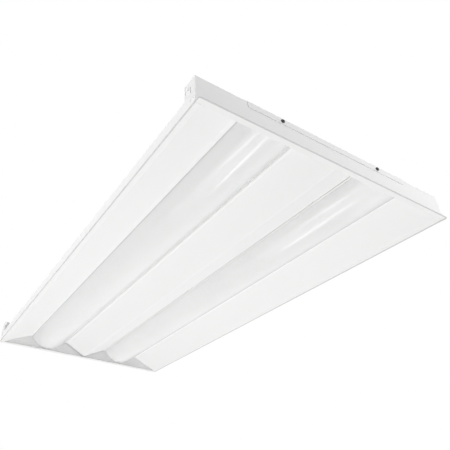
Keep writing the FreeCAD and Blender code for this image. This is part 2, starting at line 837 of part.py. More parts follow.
def ground_lead():
    """Ring tongue under the ground screw, with its lead back to the junction block."""
    top, under = body_height, body_height - tongue_thick
    ring = rod(tongue_r, (ground_x, ground_y, under), Z, tongue_thick)
    y0 = ground_y - tongue_reach
    tongue = box(ground_x - barrel_r, ground_x + barrel_r, y0, ground_y, under, top)
    z = top - barrel_r - hole_clear
    barrel = rod(barrel_r, (ground_x, y0, z), Y, tongue_reach - tongue_r)
    x1, y1, z1 = -junction_width / 2, junction_y + junction_length / 2, top - junction_high / 2
    route = [(ground_x, y0 + 1, z), (ground_x + 0.6, y0 - 4, z - 1.5), (ground_x + 4.5, y1 + 1, z - 4),
             (x1 - 8, y1 - 0.6, z1 + 0.8), (x1 + 1, y1, z1)]
    body = fuse(ring, tongue, barrel, tube(route, jumper_r))
    return body.cut(hole((ground_x, ground_y, under), (0, 0, 1), tongue_thick, screw_r))


def input_leads():
    z0 = driver_board_z - block_high / 2
    z1 = body_height - junction_high / 2
    y0, y1 = driver_end + block_out, junction_y
    span = y1 - y0
    made = []
    for x in (-port_pitch, port_pitch):
        route = [(x, y0 - 3, z0), (x * 0.9, y0 + span * 0.3, z0 - 2),
                 (x * 1.1, y0 + span * 0.7, z1 - 2), (x, y1 + 3, z1)]
        made.append(tube(route, jumper_r))
    return Part.Compound(made)


def output_lead():
    """Right-hand lead from the driver, through the rail, to the feed connector."""
    z0 = driver_board_z - block_high / 2
    y0 = driver_start - block_out
    y1 = plug_feed_y
    z1 = board_z - plug_high / 2
    z = grommet_height
    route = [(port_pitch, y0 + 3, z0), (6, y0 - 22, z0 - 1), (18, y1 + 6, z0), (42, y1 - 1, z - 2),
             (rail_x + fold, y1, z), (rail_x + 26, y1 + 0.4, z + 1.6), (plug_x, y1, z1)]
    return tube(route, lead_r)


def lead_grommets():
    x0, y, z = rail_x - grommet_lip_thick, plug_feed_y, grommet_height
    length = sheet + 2 * grommet_lip_thick
    outer = grommet_r + grommet_lip
    groove = rod(outer + past, (rail_x, y, z), X, sheet).cut(rod(grommet_r, (rail_x, y, z), X, sheet))
    bore = rod(grommet_bore, (x0 - past, y, z), X, length + 2 * past)
    body = rod(outer, (x0, y, z), X, length).cut(fuse(groove, bore))
    return Part.Compound([body, mirror_x(body)])


def plate_screw_places():
    return [(0, plate_pivot_y), (plate_lock_x, plate_pivot_y + plate_lock_y)]


def plate_cutter(r, y):
    return rod(r, (0, y, plate_low - past), Z, plate_thick + 2 * past)


def lock_slot():
    """Slot through which the plate swings clear of the loosened lock screw."""
    x, y = plate_screw_places()[1]
    z, high = plate_low - past, plate_thick + 2 * past
    swing = math.hypot(plate_lock_x, plate_lock_y)
    way = FreeCAD.Vector(plate_lock_y / swing, -plate_lock_x / swing, 0)
    half = screw_r + plate_slot_clear
    side = FreeCAD.Vector(-way.y, way.x, 0) * half
    lock, mouth = FreeCAD.Vector(x, y, z), FreeCAD.Vector(x, y, z) + way * plate_slot_run
    loop = [lock + side, lock - side, mouth - side, mouth + side, lock + side]
    return fuse(Part.Face(Part.makePolygon(loop)).extrude(Z * high), rod(half, lock, Z, high))


def access_plate():
    low, high = plate_low, plate_low + plate_thick
    body = box(-plate_half, plate_half, plate_pivot_y - plate_behind, plate_pivot_y + plate_ahead, low, high)
    body = body.makeFillet(plate_corner, [e for e in body.Edges if e.BoundBox.ZLength > plate_thick / 2])
    first = plate_pivot_y + knockout_first
    second = first + knockout_pitch
    score = plate_cutter(knockout_r, second).cut(plate_cutter(knockout_r - knockout_score, second))
    tie = box(-knockout_r - past, knockout_r + past, second - knockout_tie / 2, second + knockout_tie / 2,
              low - past, high + past)
    pivot = plate_cutter(screw_r + run_clear, plate_pivot_y)
    return body.cut(fuse(lock_slot(), pivot, plate_cutter(knockout_r, first))).cut(score.cut(tie))


def plate_screw(place):
    z = plate_low + plate_thick + plate_lift
    return screw((place[0], place[1], z), (0, 0, -1), plate_thick + 2 * plate_lift + sheet)


# ---- grid clips, near right-hand corner

def clip_y():
    return -plate_out + clip_slot_offset


def bracket_lug_y():
    return clip_y() - clip_thick / 2 - clip_side_gap - bracket_thick


def bracket_rivet_place():
    return (half_w, bracket_lug_y() - bracket_leg / 2, clip_pivot_height + bracket_rivet_lift)


def grid_clip():
    x, z = half_w - clip_pivot_inset, clip_pivot_height
    half, heel = clip_width / 2, (clip_width - clip_heel_flat) / 2
    tip = z + clip_reach
    wire = outline([(x - half, z - half), (x + half, z - half), (x + half, tip), (x - half, tip)],
                   [heel, heel, clip_tip_round, clip_tip_round])
    y = clip_y() - clip_thick / 2
    body = extrude_y(wire, y, y + clip_thick)
    return body.cut(rod(clip_pivot_r + run_clear, (x, y - past, z), Y, clip_thick + 2 * past))


def clip_bracket():
    x1 = half_w - sheet
    y1 = bracket_lug_y() + bracket_thick
    z0, z1 = clip_pivot_height - bracket_height / 2, clip_pivot_height + bracket_height / 2
    leg = box(x1 - bracket_thick, x1, y1 - bracket_leg - bracket_thick, y1, z0, z1)
    lug = box(x1 - bracket_reach, x1, y1 - bracket_thick, y1, z0, z1)
    pin_x = half_w - clip_pivot_inset
    pivot = rod(clip_pivot_r, (pin_x, y1 - bracket_thick, clip_pivot_height), Y, bracket_thick)
    rivet_hole = hole(bracket_rivet_place(), (-1, 0, 0), sheet + bracket_thick, rivet_r)
    return fuse(leg, lug).cut(fuse(pivot, rivet_hole))


def clip_pivot():
    x, z = half_w - clip_pivot_inset, clip_pivot_height
    y0 = bracket_lug_y()
    y1 = clip_y() + clip_thick / 2 + clip_side_gap
    shank = rod(clip_pivot_r, (x, y0, z), Y, y1 - y0)
    back = rod(clip_pivot_head_r, (x, y0 - rivet_head, z), Y, rivet_head)
    front = rod(clip_pivot_head_r, (x, y1, z), Y, rivet_head)
    return fuse(shank, back, front)


def bracket_rivet():
    return rivet(bracket_rivet_place(), (-1, 0, 0), sheet + bracket_thick)


def four_corners(shape):
    return Part.Compound([shape, mirror_x(shape), mirror_y(shape), mirror_x(mirror_y(shape))])


# ---- write every piece

def pieces():
    made = {}
    made["back_pan"] = back_pan()
    made["end_plate_near"] = end_plate()
    made["end_plate_far"] = mirror_y(end_plate())
    made["side_reflector_right"] = side_reflector()
    made["side_reflector_left"] = mirror_x(side_reflector())
    made["center_rail_right"] = rail_with_lugs()
    made["center_rail_left"] = mirror_x(rail(False))
    made["center_cover"] = center_cover()
    made["cover_hinge_pins"] = hinge_pins()
    made["cover_latch_springs"] = latch_springs()
    made["diffuser_right"] = diffuser()
    made["diffuser_left"] = mirror_x(diffuser())
    for side, side_name in ((-1, "left"), (1, "right")):
        for end, end_name in ((-1, "near"), (1, "far")):
            made["led_board_%s_%s" % (side_name, end_name)] = led_board(side, end)
            made["leds_%s_%s" % (side_name, end_name)] = led_row(side, end)
    made["board_connectors"] = board_connectors()
    made["board_jumpers"] = board_jumpers()
    made["board_screws"] = board_screws()
    made["driver_base"] = driver_base()
    made["driver_lid"] = driver_lid()
    made["driver_circuit_board"] = driver_circuit_board()
    made["driver_transformer"] = driver_transformer()
    made["driver_capacitors"] = driver_capacitors()
    made["driver_terminals"] = driver_terminals()
    made["driver_screws"] = driver_screws()
    made["junction_block"] = junction_block()
    made["junction_screw"] = junction_screw()
    made["ground_screw"] = ground_screw()
    made["ground_lead"] = ground_lead()
    made["input_leads"] = input_leads()
    made["output_lead_right"] = output_lead()
    made["output_lead_left"] = mirror_x(output_lead())
    made["lead_grommets"] = lead_grommets()
    made["access_plate"] = access_plate()
    made["access_pivot_screw"] = plate_screw(plate_screw_places()[0])
    made["access_lock_screw"] = plate_screw(plate_screw_places()[1])
    made["end_screws_near"] = end_screws()
    made["end_screws_far"] = mirror_y(end_screws())
    made["pan_rivets"] = wall_rivets()
    made["rail_rivets"] = rail_rivets()
    made["corner_rivets"] = corner_rivets()
    clip = grid_clip()
    made["grid_clip_near_right"] = clip
    made["grid_clip_near_left"] = mirror_x(clip)
    made["grid_clip_far_right"] = mirror_y(clip)
    made["grid_clip_far_left"] = mirror_x(mirror_y(clip))
    made["clip_brackets"] = four_corners(clip_bracket())
    made["clip_pivots"] = four_corners(clip_pivot())
    made["bracket_rivets"] = four_corners(bracket_rivet())
    return made


os.makedirs("parts", exist_ok=True)
for name, shape in pieces().items():
    if not shape.isValid():
        print("not valid:", name)
    shape.exportStep("parts/%s.step" % name)
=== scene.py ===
import math

import bpy
import numpy as np
from mathutils import Euler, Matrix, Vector


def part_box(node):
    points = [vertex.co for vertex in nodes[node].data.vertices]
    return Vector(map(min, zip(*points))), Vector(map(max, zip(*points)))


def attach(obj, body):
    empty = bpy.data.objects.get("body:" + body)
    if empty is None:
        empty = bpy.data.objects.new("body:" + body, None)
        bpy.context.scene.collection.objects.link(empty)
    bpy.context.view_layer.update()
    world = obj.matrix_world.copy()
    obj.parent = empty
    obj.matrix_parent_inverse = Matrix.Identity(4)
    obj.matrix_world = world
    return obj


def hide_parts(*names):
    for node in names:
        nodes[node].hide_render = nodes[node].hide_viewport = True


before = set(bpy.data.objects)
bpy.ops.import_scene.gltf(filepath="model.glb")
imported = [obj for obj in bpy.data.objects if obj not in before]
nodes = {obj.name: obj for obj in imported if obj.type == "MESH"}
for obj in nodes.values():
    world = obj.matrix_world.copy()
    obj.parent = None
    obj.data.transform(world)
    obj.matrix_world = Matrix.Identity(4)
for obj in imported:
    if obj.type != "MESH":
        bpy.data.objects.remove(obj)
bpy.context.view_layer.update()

scene = bpy.context.scene
mm = 0.001


# view: from below the near left corner, up and along the light
camera = {
    "place": (-0.5708, -0.9835, -0.5554),
    "turn": (124.69, -1.2, -29.78),  # degrees
    "lens": 37.04,
    "sensor": 36.0,
    "shiftAcross": 0.144,  # share of the width that the picture is shifted across
    "farthest": 60.0,
}


def addCamera(values):
    data = bpy.data.cameras.new("photoCamera")
    data.lens = values["lens"]
    data.sensor_width = values["sensor"]
    data.shift_x = values["shiftAcross"]
    data.clip_end = values["farthest"]
    made = bpy.data.objects.new("photoCamera", data)
    made.location = values["place"]
    made.rotation_euler = Euler([math.radians(angle) for angle in values["turn"]])
    scene.collection.objects.link(made)
    scene.camera = made


addCamera(camera)
scene.view_settings.view_transform = "Standard"


# studio: even ambient light, soft lamps all round, white wherever the room is seen
studio = {
    "ambient": 0.45,
    "roomWhite": 1.0,
    "roomColor": (1.0, 1.0, 1.0, 1.0),
    "floorHeight": -2.0,
    "floorSize": 30.0,
    "floorColor": (0.87, 0.87, 0.86, 1.0),
    "floorRoughness": 0.6,
    "fadeStart": 1.2,  # from here to fadeEnd the floor turns into the white room
    "fadeEnd": 4.5,
    "lamps": {  # inGloss False: lights the coats but isn't seen in them
        "underWash": {
            "place": (-0.3, 0.1, -1.85), "aim": (0.0, 0.0, 0.0), "size": (2.2, 2.2), "power": 19.5},
        "underRight": {
            "place": (1.2, 0.0, -1.6), "aim": (0.0, 0.0, 0.0), "size": (1.0, 2.0), "power": 6.6},
        "frontHigh": {
            "place": (1.0, -1.7, 0.4), "aim": (0.2, -0.6, 0.03), "size": (0.7, 0.7), "power": 12.6,
            "inGloss": False},
        "sideGlow": {
            "place": (-2.0, 0.0, 0.4), "aim": (-0.3, 0.0, 0.01), "size": (2.6, 0.5), "power": 20.0},
        "streakLeft": {
            "place": (-0.62, 0.42, -1.45), "aim": (-0.15, -0.55, 0.0), "size": (0.1, 0.3), "power": 0.8},
        "streakMid": {
            "place": (0.32, 0.45, -1.45), "aim": (0.0, -0.55, 0.0), "size": (0.12, 0.5), "power": 1.2},
        "topSoft": {
            "place": (0.9, -1.2, 2.3), "aim": (0.0, 0.0, 0.0), "size": (4.0, 4.0), "power": 11.0,
            "inGloss": False},
    },
}


def addNode(tree, kind, **values):
    made = tree.nodes.new(kind)
    for name, value in values.items():
        setattr(made, name, value)
    return made


def join(tree, source, target):
    tree.links.new(source, target)


def roomSeen(tree):  # 1 for rays from the camera, off gloss and through glass
    path = addNode(tree, "ShaderNodeLightPath")
    first = addNode(tree, "ShaderNodeMath", operation="MAXIMUM")
    second = addNode(tree, "ShaderNodeMath", operation="MAXIMUM")
    join(tree, path.outputs["Is Camera Ray"], first.inputs[0])
    join(tree, path.outputs["Is Glossy Ray"], first.inputs[1])
    join(tree, first.outputs[0], second.inputs[0])
    join(tree, path.outputs["Is Transmission Ray"], second.inputs[1])
    return second.outputs[0]


def addRoom(values):
    world = bpy.data.worlds.new("studioRoom")
    world.use_nodes = True
    tree = world.node_tree
    tree.nodes.clear()
    ambient = addNode(tree, "ShaderNodeBackground")
    ambient.inputs["Strength"].default_value = values["ambient"]
    white = addNode(tree, "ShaderNodeBackground")
    white.inputs["Strength"].default_value = values["roomWhite"]
    for background in (ambient, white):
        background.inputs["Color"].default_value = values["roomColor"]
    mix = addNode(tree, "ShaderNodeMixShader")
    output = addNode(tree, "ShaderNodeOutputWorld")
    join(tree, roomSeen(tree), mix.inputs[0])
    join(tree, ambient.outputs[0], mix.inputs[1])
    join(tree, white.outputs[0], mix.inputs[2])
    join(tree, mix.outputs[0], output.inputs["Surface"])
    scene.world = world


def floorMaterial(values):
    material = bpy.data.materials.new("paleFloor")
    material.use_nodes = True
    tree = material.node_tree
    shader = tree.nodes["Principled BSDF"]
    shader.inputs["Base Color"].default_value = values["floorColor"]
    shader.inputs["Roughness"].default_value = values["floorRoughness"]
    white = addNode(tree, "ShaderNodeEmission")
    place = addNode(tree, "ShaderNodeTexCoord")
    length = addNode(tree, "ShaderNodeVectorMath", operation="LENGTH")
    fade = addNode(tree, "ShaderNodeMapRange", interpolation_type="SMOOTHSTEP")
    fade.inputs["From Min"].default_value = values["fadeStart"]
    fade.inputs["From Max"].default_value = values["fadeEnd"]
    seen = addNode(tree, "ShaderNodeMath", operation="MULTIPLY")
    mix = addNode(tree, "ShaderNodeMixShader")
    join(tree, place.outputs["Object"], length.inputs[0])
    join(tree, length.outputs["Value"], fade.inputs["Value"])
    join(tree, fade.outputs["Result"], seen.inputs[0])
    join(tree, roomSeen(tree), seen.inputs[1])
    join(tree, seen.outputs[0], mix.inputs[0])
    join(tree, shader.outputs[0], mix.inputs[1])
    join(tree, white.outputs[0], mix.inputs[2])
    join(tree, mix.outputs[0], tree.nodes["Material Output"].inputs["Surface"])
    return material


def addFloor(values):
    half = values["floorSize"] / 2
    corners = np.array([(-half, -half, 0), (half, -half, 0), (half, half, 0), (-half, half, 0)])
    mesh = bpy.data.meshes.new("studioFloor")
    mesh.from_pydata(corners, [], [(0, 1, 2, 3)])
    mesh.materials.append(floorMaterial(values))
    made = bpy.data.objects.new("studioFloor", mesh)
    made.location = (0.0, 0.0, values["floorHeight"])
    scene.collection.objects.link(made)


def addLamp(name, values):
    data = bpy.data.lights.new(name, "AREA")
    data.shape = "RECTANGLE"
    data.size, data.size_y = values["size"]
    data.energy = values["power"]
    made = bpy.data.objects.new(name, data)
    made.location = values["place"]
    aim = Vector(values["aim"]) - Vector(values["place"])
    made.rotation_euler = aim.to_track_quat("-Z", "Y").to_euler()
    made.visible_camera = False
    made.visible_glossy = values.get("inGloss", True)
    scene.collection.objects.link(made)


addRoom(studio)
addFloor(studio)
for name, values in studio["lamps"].items():
    addLamp(name, values)
print("studio:", len(studio["lamps"]), "lamps, floor and white room")


# shared effects: groups that put out only masks, values and normals
def newGroup(name, inputs, outputs):  # the group, with the nodes that hold its inputs and outputs
    group = bpy.data.node_groups.new(name, "ShaderNodeTree")
    for label, kind, value in inputs:
        socket = group.interface.new_socket(name=label, in_out="INPUT", socket_type="NodeSocket" + kind)
        socket.default_value = value
    for label, kind in outputs:
        group.interface.new_socket(name=label, in_out="OUTPUT", socket_type="NodeSocket" + kind)
    return group, group.nodes.new("NodeGroupInput"), group.nodes.new("NodeGroupOutput")


def scaledPlace(tree, stretch=None):  # object coordinates, stretched when a socket gives the stretch
    place = addNode(tree, "ShaderNodeTexCoord")
    if stretch is None:
        return place.outputs["Object"]
    mapping = addNode(tree, "ShaderNodeMapping", vector_type="POINT")
    join(tree, place.outputs["Object"], mapping.inputs["Vector"])
    join(tree, stretch, mapping.inputs["Scale"])
    return mapping.outputs["Vector"]


def mathNode(tree, operation, first, second=0.0):  # one math node on numbers or sockets
    made = addNode(tree, "ShaderNodeMath", operation=operation)
    for value, socket in ((first, made.inputs[0]), (second, made.inputs[1])):
        if isinstance(value, (int, float)):
            socket.default_value = value
        else:
            join(tree, value, socket)
    return made.outputs[0]


def perMetre(tree, sizeSocket):  # a size in millimetres becomes a texture scale per metre
    return mathNode(tree, "DIVIDE", 1 / mm, sizeSocket)


def noiseAt(tree, vector, scale, detail, roughness=0.5):
    noise = addNode(tree, "ShaderNodeTexNoise")
    noise.inputs["Detail"].default_value = detail
    noise.inputs["Roughness"].default_value = roughness
    join(tree, vector, noise.inputs["Vector"])
    if isinstance(scale, float):
        noise.inputs["Scale"].default_value = scale
    else:
        join(tree, scale, noise.inputs["Scale"])
    return noise.outputs["Fac"]


def ranged(tree, value, low, high):  # rises smoothly from 0 at low to 1 at high
    made = addNode(tree, "ShaderNodeMapRange", interpolation_type="SMOOTHSTEP")
    made.inputs["From Min"].default_value = low
    made.inputs["From Max"].default_value = high
    join(tree, value, made.inputs["Value"])
    return made.outputs["Result"]


def softStep(tree, value, half):  # rises smoothly from 0 at -half to 1 at +half
    made = addNode(tree, "ShaderNodeMapRange", interpolation_type="SMOOTHSTEP")
    join(tree, mathNode(tree, "MULTIPLY", half, -1.0), made.inputs["From Min"])
    join(tree, half, made.inputs["From Max"])
    join(tree, value, made.inputs["Value"])
    return made.outputs["Result"]


reliefNoise = {"detail": 2.0, "fineRatio": 3.7, "fineDetail": 3.0, "fineRoughness": 0.6, "fineShare": 0.3}


def reliefGroup(noise):  # a coarse and a fine noise added, turned into a bump; depth is in millimetres
    tree, given, out = newGroup("surfaceRelief", [
        ("Size", "Float", 1.0), ("Depth", "Float", 0.02), ("Stretch", "Vector", (1.0, 1.0, 1.0))],
        [("Normal", "Vector"), ("Height", "Float")])
    place = scaledPlace(tree, given.outputs["Stretch"])
    scale = perMetre(tree, given.outputs["Size"])
    coarse = noiseAt(tree, place, scale, noise["detail"])
    fineScale = mathNode(tree, "MULTIPLY", scale, noise["fineRatio"])
    fine = noiseAt(tree, place, fineScale, noise["fineDetail"], noise["fineRoughness"])
    height = mathNode(tree, "ADD", coarse, mathNode(tree, "MULTIPLY", fine, noise["fineShare"]))
    bump = addNode(tree, "ShaderNodeBump")
    bump.inputs["Strength"].default_value = 1.0
    join(tree, mathNode(tree, "MULTIPLY", given.outputs["Depth"], mm), bump.inputs["Distance"])
    join(tree, height, bump.inputs["Height"])
    join(tree, bump.outputs["Normal"], out.inputs["Normal"])
    join(tree, height, out.inputs["Height"])
    return tree


stainNoise = {"detail": 4.0, "range": (0.35, 0.75),
              "fleckRatio": 11.0, "fleckDetail": 5.0, "fleckRoughness": 0.7, "fleckRange": (0.3, 0.8)}


def stainGroup(noise):  # broad patches times small flecks, 0 to amount
    tree, given, out = newGroup("patchyStain", [("Size", "Float", 200.0), ("Amount", "Float", 0.1)],
                                [("Mask", "Float")])
    place = scaledPlace(tree)
    scale = perMetre(tree, given.outputs["Size"])
    broad = ranged(tree, noiseAt(tree, place, scale, noise["detail"]), *noise["range"])
    fleckScale = mathNode(tree, "MULTIPLY", scale, noise["fleckRatio"])
    flecks = noiseAt(tree, place, fleckScale, noise["fleckDetail"], noise["fleckRoughness"])
    flecks = ranged(tree, flecks, *noise["fleckRange"])
    both = mathNode(tree, "MULTIPLY", broad, flecks)
    join(tree, mathNode(tree, "MULTIPLY", both, given.outputs["Amount"]), out.inputs["Mask"])
    return tree


dustNoise = {"facing": (0.35, 0.95), "scale": 14.0, "detail": 6.0, "roughness": 0.65, "range": (0.25, 0.8)}


def dustGroup(noise):  # dust on what faces up: the normal's height times soft patches
    tree, given, out = newGroup("settledDust", [("Amount", "Float", 0.3)], [("Mask", "Float")])
    place = scaledPlace(tree)
    geometry = addNode(tree, "ShaderNodeNewGeometry")
    split = addNode(tree, "ShaderNodeSeparateXYZ")
    join(tree, geometry.outputs["Normal"], split.inputs[0])
    up = ranged(tree, split.outputs["Z"], *noise["facing"])
    patches = noiseAt(tree, place, noise["scale"], noise["detail"], noise["roughness"])
    patches = ranged(tree, patches, *noise["range"])
    both = mathNode(tree, "MULTIPLY", up, patches)
    join(tree, mathNode(tree, "MULTIPLY", both, given.outputs["Amount"]), out.inputs["Mask"])
    return tree


scratchNoise = {"scale": 1.0, "detail": 2.0, "range": (0.62, 0.72),
                "patchScale": 9.0, "patchRange": (0.45, 0.7)}


def scratchGroup(noise):  # long thin lines from a noise stretched along one way, kept where it peaks
    tree, given, out = newGroup("fineScratches", [
        ("Amount", "Float", 0.2), ("Stretch", "Vector", (300.0, 6.0, 300.0))], [("Mask", "Float")])
    place = scaledPlace(tree, given.outputs["Stretch"])
    lines = ranged(tree, noiseAt(tree, place, noise["scale"], noise["detail"]), *noise["range"])
    patches = noiseAt(tree, scaledPlace(tree), noise["patchScale"], noise["detail"])
    patches = ranged(tree, patches, *noise["patchRange"])
    both = mathNode(tree, "MULTIPLY", lines, patches)
    join(tree, mathNode(tree, "MULTIPLY", both, given.outputs["Amount"]), out.inputs["Mask"])
    return tree


def spangleGroup():  # crystal patches of a zinc coat, one even value for each cell
    tree, given, out = newGroup("zincSpangle", [("Size", "Float", 6.0)], [("Value", "Float")])
    cells = addNode(tree, "ShaderNodeTexVoronoi", feature="F1")
    join(tree, scaledPlace(tree), cells.inputs["Vector"])
    join(tree, perMetre(tree, given.outputs["Size"]), cells.inputs["Scale"])
    split = addNode(tree, "ShaderNodeSeparateColor")
    join(tree, cells.outputs["Color"], split.inputs[0])
    join(tree, split.outputs[0], out.inputs["Value"])
    return tree


def paintedShadeBandGroup():  # mask of a painted shade line: amount between two distances along one way, two heights and a reach each way in Y
    tree, given, out = newGroup("paintedShadeBand", [
        ("Way", "Vector", (1.0, 0.0, 0.0)), ("Near", "Float", 0.0), ("Far", "Float", 1000.0),
        ("Floor", "Float", -5.0), ("Ceiling", "Float", 100.0), ("Reach", "Float", 1000.0),
        ("Soft", "Float", 0.15), ("Amount", "Float", 0.5)], [("Mask", "Float")])
    place = scaledPlace(tree)
    along = addNode(tree, "ShaderNodeVectorMath", operation="DOT_PRODUCT")
    split = addNode(tree, "ShaderNodeSeparateXYZ")
    join(tree, place, along.inputs[0])
    join(tree, given.outputs["Way"], along.inputs[1])
    join(tree, place, split.inputs[0])
    mask, soft = given.outputs["Amount"], given.outputs["Soft"]
    limits = ((along.outputs["Value"], "Near", "Far"), (split.outputs["Z"], "Floor", "Ceiling"))
    for value, low, high in limits:
        size = mathNode(tree, "DIVIDE", value, mm)
        past = mathNode(tree, "SUBTRACT", size, given.outputs[low])
        left = mathNode(tree, "SUBTRACT", given.outputs[high], size)
        mask = mathNode(tree, "MULTIPLY", mask, softStep(tree, past, soft))
        mask = mathNode(tree, "MULTIPLY", mask, softStep(tree, left, soft))
    far = mathNode(tree, "DIVIDE", mathNode(tree, "ABSOLUTE", split.outputs["Y"]), mm)
    within = softStep(tree, mathNode(tree, "SUBTRACT", given.outputs["Reach"], far), soft)
    join(tree, mathNode(tree, "MULTIPLY", mask, within), out.inputs["Mask"])
    return tree


groups = {
    "paintedShadeBand": paintedShadeBandGroup(),
    "relief": reliefGroup(reliefNoise),
    "stain": stainGroup(stainNoise),
    "dust": dustGroup(dustNoise),
    "scratches": scratchGroup(scratchNoise),
    "spangle": spangleGroup(),
}
print("groups:", ", ".join(groups))


def useGroup(tree, name, **values):
    made = addNode(tree, "ShaderNodeGroup", node_tree=groups[name])
    for label, value in values.items():
        made.inputs[label].default_value = value
    return made.outputs


def mixColor(tree, factor, first, second):  # a colour mix takes its colours at inputs 6 and 7
    mix = addNode(tree, "ShaderNodeMix", data_type="RGBA")
    join(tree, factor, mix.inputs[0])
    for value, socket in ((first, mix.inputs[6]), (second, mix.inputs[7])):
        if isinstance(value, tuple):
            socket.default_value = (*value, 1.0)
        else:
            join(tree, value, socket)
    return mix.outputs[2]


def mixValue(tree, factor, first, second):  # first + factor * (second - first), at inputs 2 and 3
    mix = addNode(tree, "ShaderNodeMix", data_type="FLOAT")
    join(tree, factor, mix.inputs[0])
    for value, socket in ((first, mix.inputs[2]), (second, mix.inputs[3])):
        if isinstance(value, (int, float)):
            socket.default_value = value
        else:
            join(tree, value, socket)
    return mix.outputs[0]


def newMaterial(name):
    material = bpy.data.materials.new(name)
    material.use_nodes = True
    tree = material.node_tree
    return material, tree, tree.nodes["Principled BSDF"]


# coated steel: orange peel, faint stains, dust on top and a few handling scuffs, with painted shade lines
# along the rims
coatings = {
    "body_white": {
        "color": (0.86, 0.86, 0.86), "stain": (0.73, 0.725, 0.71), "rough": 0.36, "peel": 1.6,
        "depth": 0.018, "stainSize": 260.0, "stainAmount": 0.16, "dust": 0.26,
        "edges": ("rimShadeLeft", "rimShadeRight", "rimShadeNear", "rimShadeFar", "railShadeLeft")},
    "reflector_white": {
        "color": (0.885, 0.885, 0.885), "stain": (0.79, 0.785, 0.775), "rough": 0.5, "peel": 1.1,
        "depth": 0.012, "stainSize": 320.0, "stainAmount": 0.1, "dust": 0.2,
        "edges": ("rimShadeLeft", "rimShadeRight")},
    "driver_case": {
        "color": (0.74, 0.745, 0.74), "stain": (0.58, 0.57, 0.54), "rough": 0.42, "peel": 0.9,
        "depth": 0.01, "stainSize": 60.0, "stainAmount": 0.25, "dust": 0.3,
        "edges": ()},
}
# smoother and rougher, here and below, are steps of roughness down and up from the finish's own
coatWear = {"smoother": 0.06, "rougher": 0.05, "level": 0.4,
            "scuffs": 0.5, "scuffStretch": (90.0, 4.0, 90.0), "scuffedRougher": 0.18}
dustLook = {"color": (0.56, 0.54, 0.5), "rough": 0.85}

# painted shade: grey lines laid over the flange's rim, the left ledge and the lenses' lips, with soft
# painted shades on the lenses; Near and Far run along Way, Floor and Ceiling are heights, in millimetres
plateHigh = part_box("end_plate_far")[1] / mm
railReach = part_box("center_rail_left")[1].y / mm
toLeft, toRight = (-1.0, 0.0, 0.0), (1.0, 0.0, 0.0)
toNear, toFar = (0.0, -1.0, 0.0), (0.0, 1.0, 0.0)
paintedShadeGrey = (0.3, 0.3, 0.3)
rimWidth, rightRimWidth = 2.2, 6.0
rim = {"Ceiling": 2.0, "Amount": 0.42}  # on the face and just above it
groove = {"Floor": 20.0, "Soft": 0.3}
shade = {"Floor": -20.0, "Soft": 9.0}
paintedShadeLines = {
    # painted shade along the outer rims of the flanges, wider on the right
    "rimShadeLeft": {"Way": toLeft, "Near": plateHigh.x - rimWidth, **rim},
    "rimShadeRight": {"Way": toRight, "Near": plateHigh.x - rightRimWidth, **rim},
    "rimShadeNear": {"Way": toNear, "Near": plateHigh.y - rimWidth, **rim},
    "rimShadeFar": {"Way": toFar, "Near": plateHigh.y - rimWidth, **rim},
    # painted soft shadow over the left rail's ledge beside the cover
    "railShadeLeft": {"Way": toLeft, "Near": 76.0, "Far": 84.0, "Floor": 35.0, "Ceiling": 41.0,
                 "Reach": railReach, "Amount": 0.15},
    # painted shade where the lenses' lips meet the ledges
    "grooveShadeOuter": {"Way": toLeft, "Near": 196.2, "Far": 201.0, "Amount": 0.24, **groove},
    "grooveShadeInner": {"Way": toRight, "Near": 78.0, "Far": 82.8, "Amount": 0.1, **groove},
    # soft painted shades towards each lens's right side
    "shadeInner": {"Way": toRight, "Near": -102.0, "Far": -60.0, "Amount": 0.16, **shade},
    "shadeOuter": {"Way": toRight, "Near": 163.0, "Far": 220.0, "Amount": 0.24, **shade},
}


def withPaintedShade(tree, color, lines):  # the colour with the grey of each painted shade line laid over it
    for line in lines:
        color = mixColor(tree, useGroup(tree, "paintedShadeBand", **paintedShadeLines[line])["Mask"], color, paintedShadeGrey)
    return color


def coatedMaterial(name, look, wear):
    material, tree, shader = newMaterial(name)
    stain = useGroup(tree, "stain", Size=look["stainSize"], Amount=look["stainAmount"])["Mask"]
    dust = useGroup(tree, "dust", Amount=look["dust"])["Mask"]
    scuffs = useGroup(tree, "scratches", Amount=wear["scuffs"], Stretch=wear["scuffStretch"])["Mask"]
    relief = useGroup(tree, "relief", Size=look["peel"], Depth=look["depth"])
    color = mixColor(tree, stain, look["color"], look["stain"])
    # painted shade lines along the rims and the left ledge, where the finish lists any
    color = withPaintedShade(tree, color, look["edges"])
    join(tree, mixColor(tree, dust, color, dustLook["color"]), shader.inputs["Base Color"])
    smooth, coarse = look["rough"] - wear["smoother"], look["rough"] + wear["rougher"]
    rough = mixValue(tree, relief["Height"], smooth, coarse)
    rough = mixValue(tree, scuffs, rough, look["rough"] + wear["scuffedRougher"])
    join(tree, mixValue(tree, dust, rough, dustLook["rough"]), shader.inputs["Roughness"])
    join(tree, relief["Normal"], shader.inputs["Normal"])
    shader.inputs["Specular IOR Level"].default_value = wear["level"]
    return material


